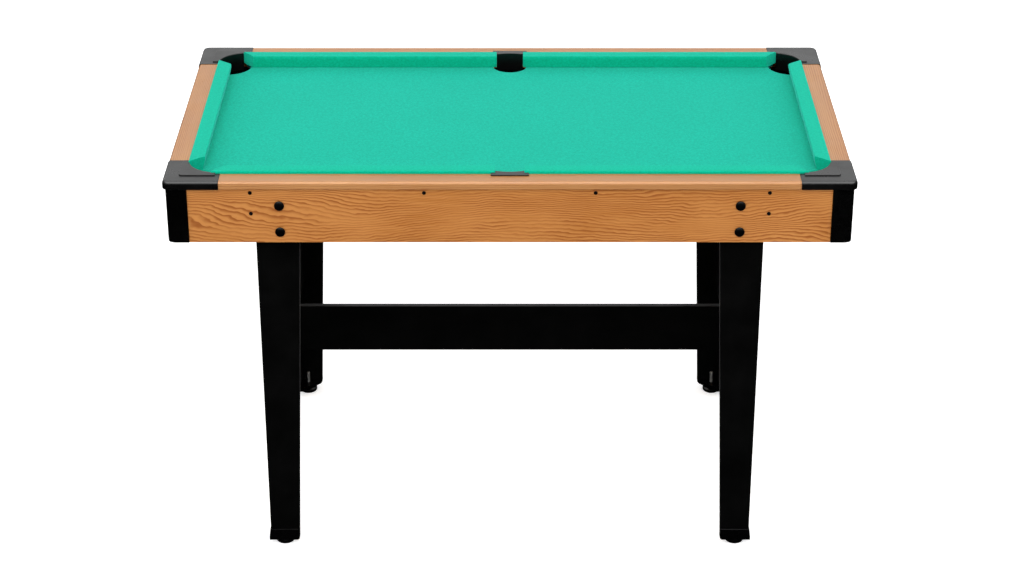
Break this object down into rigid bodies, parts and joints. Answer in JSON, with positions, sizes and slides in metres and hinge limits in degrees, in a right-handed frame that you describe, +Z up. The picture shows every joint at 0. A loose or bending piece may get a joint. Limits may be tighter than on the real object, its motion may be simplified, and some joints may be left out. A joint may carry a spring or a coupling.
{
  "type": "mini pool table",
  "caption": "Mini pool table: wood-grain cabinet and rails, black corner caps and pocket cups, green cloth bed and cushions, L-shaped tapered legs with a stretcher and levelling feet.",
  "frame": {"origin": "on the floor under the table's centre, feet screwed in", "axes": "+X along the table's length, to the right seen from the front; +Y from the front to the back; +Z up"},
  "size_m": [1.2224, 0.6664, 0.765],
  "materials": {
    "oak_rail": "oak-grain foil on a rounded moulding, satin, paler on top, grain along the rail",
    "oak_apron": "oak-grain laminate with open cathedral figure, satin",
    "satin_black": "satin moulded black plastic with a very fine texture",
    "gloss_black": "smooth black plastic with a soft gloss",
    "cup_black": "matt black moulded plastic",
    "green_cloth": "short-napped green billiard cloth",
    "cushion_cloth": "the same green cloth drawn over rubber cushions",
    "plain_board": "plain fibreboard, uncoated",
    "black_laminate": "black laminated board with a fine embossed texture",
    "black_steel": "blackened steel, slightly glossy"
  },
  "bodies": {
    "table": {"rail_front": "oak_rail", "rail_back": "oak_rail", "rail_left": "oak_rail", "rail_right": "oak_rail", "apron_front": "oak_apron", "apron_back": "oak_apron", "apron_left": "oak_apron", "apron_right": "oak_apron", "corner_post_front_left": "gloss_black", "corner_post_front_right": "gloss_black", "corner_post_back_left": "gloss_black", "corner_post_back_right": "gloss_black", "corner_cap_front_left": "satin_black", "corner_cap_front_right": "satin_black", "corner_cap_back_left": "satin_black", "corner_cap_back_right": "satin_black", "side_pocket_trim_front": "satin_black", "side_pocket_trim_back": "satin_black", "pocket_cup_front_left": "cup_black", "pocket_cup_front_right": "cup_black", "pocket_cup_back_left": "cup_black", "pocket_cup_back_right": "cup_black", "pocket_cup_side_front": "cup_black", "pocket_cup_side_back": "cup_black", "bed_board": "plain_board", "bed_cloth": "green_cloth", "cushion_front_left": "cushion_cloth", "cushion_front_right": "cushion_cloth", "cushion_back_left": "cushion_cloth", "cushion_back_right": "cushion_cloth", "cushion_end_left": "cushion_cloth", "cushion_end_right": "cushion_cloth", "bed_cleat_left": "plain_board", "bed_cleat_right": "plain_board", "bed_batten_left": "plain_board", "bed_batten_right": "plain_board", "leg_front_left": "black_laminate", "leg_front_right": "black_laminate", "leg_back_left": "black_laminate", "leg_back_right": "black_laminate", "leg_bolt_front_left_upper": "black_steel", "leg_bolt_front_right_upper": "black_steel", "leg_bolt_back_left_upper": "black_steel", "leg_bolt_back_right_upper": "black_steel", "leg_bolt_front_left_lower": "black_steel", "leg_bolt_front_right_lower": "black_steel", "leg_bolt_back_left_lower": "black_steel", "leg_bolt_back_right_lower": "black_steel", "end_brace_left": "black_laminate", "end_brace_right": "black_laminate", "stretcher": "black_laminate", "foot_boot_front_left": "gloss_black", "foot_boot_front_right": "gloss_black", "foot_boot_back_left": "gloss_black", "foot_boot_back_right": "gloss_black"},
    "foot_front_left": {"levelling_foot_front_left": "gloss_black"},
    "foot_front_right": {"levelling_foot_front_right": "gloss_black"},
    "foot_back_left": {"levelling_foot_back_left": "gloss_black"},
    "foot_back_right": {"levelling_foot_back_right": "gloss_black"}
  },
  "joints": [
    {"name": "foot_screw_front_left", "type": "slide", "parent": "table", "child": "foot_front_left", "axis": [0, 0, -1], "range_m": [0, 0.015]},
    {"name": "foot_screw_front_right", "type": "slide", "parent": "table", "child": "foot_front_right", "axis": [0, 0, -1], "range_m": [0, 0.015]},
    {"name": "foot_screw_back_left", "type": "slide", "parent": "table", "child": "foot_back_left", "axis": [0, 0, -1], "range_m": [0, 0.015]},
    {"name": "foot_screw_back_right", "type": "slide", "parent": "table", "child": "foot_back_right", "axis": [0, 0, -1], "range_m": [0, 0.015]}
  ]
}
